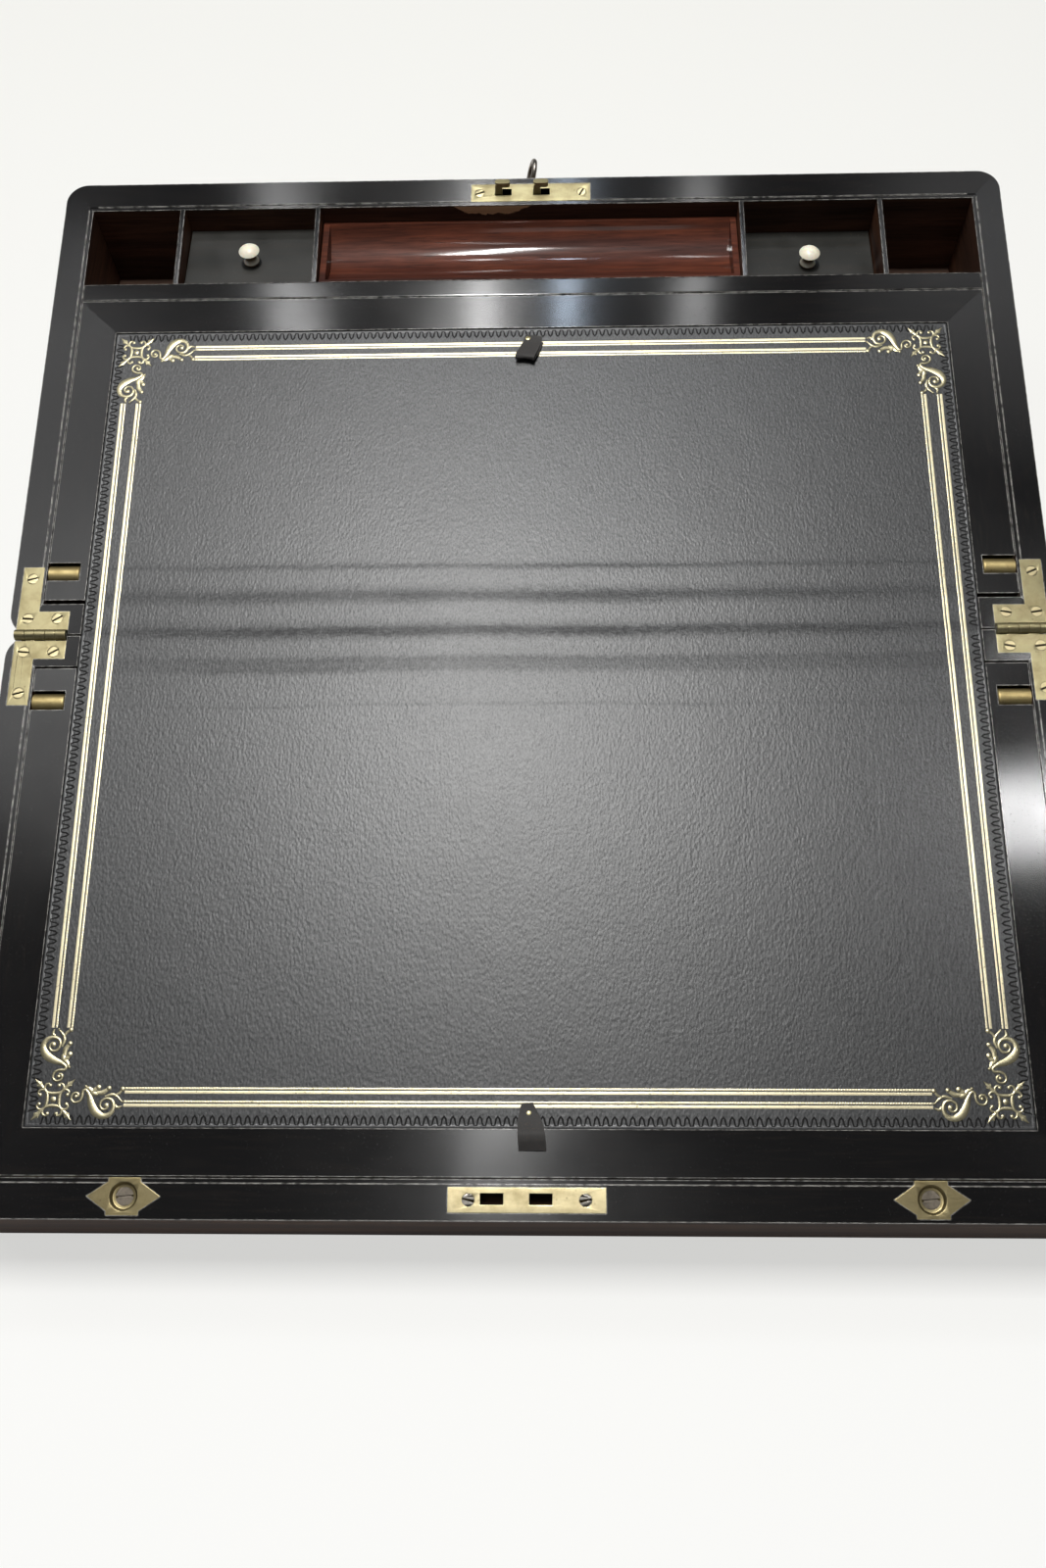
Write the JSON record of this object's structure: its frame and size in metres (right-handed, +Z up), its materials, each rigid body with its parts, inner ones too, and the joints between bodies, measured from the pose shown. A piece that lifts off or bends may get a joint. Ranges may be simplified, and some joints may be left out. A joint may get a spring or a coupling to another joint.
{
  "type": "writing slope",
  "caption": "Wooden box parted on a slope that opens out flat into a leather writing surface, with lifting flaps, ink wells, a pen tray, and a lock with its key.",
  "frame": {"origin": "centre of the base half's underside", "axes": "+Z up, +Y from the lid towards the back of the base, +X along the fold to the right"},
  "size_m": [0.4, 0.4492, 0.0986],
  "materials": {
    "figured_wood": "polished",
    "ebonised_wood": "polished",
    "plain_wood": "satin",
    "tray_wood": "polished",
    "baize": "matt",
    "leather": "satin",
    "bone": "polished",
    "steel": "satin",
    "brass": "satin"
  },
  "bodies": {
    "base": {"base_back_wall": "figured_wood", "base_hinge_wall": "ebonised_wood", "base_left_wall": "figured_wood", "base_right_wall": "figured_wood", "base_bottom": "plain_wood", "base_baize": "baize", "compartment_front_wall": "ebonised_wood", "well_floor": "plain_wood", "left_well_partition": "plain_wood", "left_tray_partition": "plain_wood", "right_tray_partition": "plain_wood", "right_well_partition": "plain_wood", "cover_ledges": "plain_wood", "tray_ledges": "plain_wood", "upper_flap_ledge": "plain_wood", "base_fold_leather": "leather", "base_flap_pins": "steel", "lock_plate": "brass", "lock_case": "brass", "lock_plate_screws": "brass", "keyhole_liner": "brass", "right_hinge_base_leaf": "brass", "left_hinge_base_leaf": "brass", "base_hinge_screws": "brass", "hinge_pins": "steel"},
    "lid": {"lid_top_panel": "figured_wood", "lid_front_wall": "figured_wood", "lid_hinge_wall": "ebonised_wood", "lid_left_wall": "figured_wood", "lid_right_wall": "figured_wood", "lid_fold_leather": "leather", "lid_flap_pins": "steel", "lid_hinge_screws": "brass", "left_hinge_lid_leaf": "brass", "right_hinge_lid_leaf": "brass", "strike_plate": "brass", "strike_plate_screws": "brass", "left_front_plate": "brass", "right_front_plate": "brass", "front_plate_screws": "brass", "lower_flap_ledge": "plain_wood"},
    "upper_flap": {"upper_flap_board": "ebonised_wood", "upper_leather": "leather", "upper_flap_barrels": "brass", "upper_pull_tab": "leather", "upper_tab_tack": "brass"},
    "lower_flap": {"lower_flap_board": "ebonised_wood", "lower_leather": "leather", "lower_flap_barrels": "brass", "lower_pull_tab": "leather", "lower_tab_tack": "brass"},
    "key": {"key": "steel"},
    "lock_bolt": {"hook_bolt": "brass"},
    "left_cover": {"left_cover": "plain_wood", "left_knob": "bone"},
    "right_cover": {"right_cover": "plain_wood", "right_knob": "bone"},
    "pen_tray": {"pen_tray": "tray_wood"}
  },
  "joints": [
    {"name": "lid_fold", "type": "hinge", "parent": "base", "child": "lid", "pos_m": [0, -0.106, 0.068], "axis": [1, 0, 0], "range_deg": [-180, 0]},
    {"name": "upper_flap_lift", "type": "hinge", "parent": "base", "child": "upper_flap", "pos_m": [0, -0.07872, 0.06737], "axis": [1, 0, 0], "range_deg": [0, 85]},
    {"name": "lower_flap_lift", "type": "hinge", "parent": "lid", "child": "lower_flap", "pos_m": [0, -0.13232, 0.06079], "axis": [-1, 0, 0], "range_deg": [0, 85]},
    {"name": "key_turn", "type": "hinge", "parent": "base", "child": "key", "pos_m": [0.0008, 0.099, 0.07967], "axis": [0, 1, 0], "range_deg": [-15, 330]},
    {"name": "hook_bolt_throw", "type": "slide", "parent": "base", "child": "lock_bolt", "axis": [1, 0, 0], "range_m": [-0.00014, 0.00311]},
    {"name": "left_cover_lift", "type": "slide", "parent": "base", "child": "left_cover", "axis": [0, 0, 1], "range_m": [0, 0.04]},
    {"name": "right_cover_lift", "type": "slide", "parent": "base", "child": "right_cover", "axis": [0, 0, 1], "range_m": [0, 0.04]},
    {"name": "pen_tray_lift", "type": "slide", "parent": "base", "child": "pen_tray", "axis": [0, 0, 1], "range_m": [0, 0.03]}
  ],
  "couplings": [
    {"joint": "key_turn", "follows": "hook_bolt_throw", "rad_per_m": 1852.7}
  ]
}
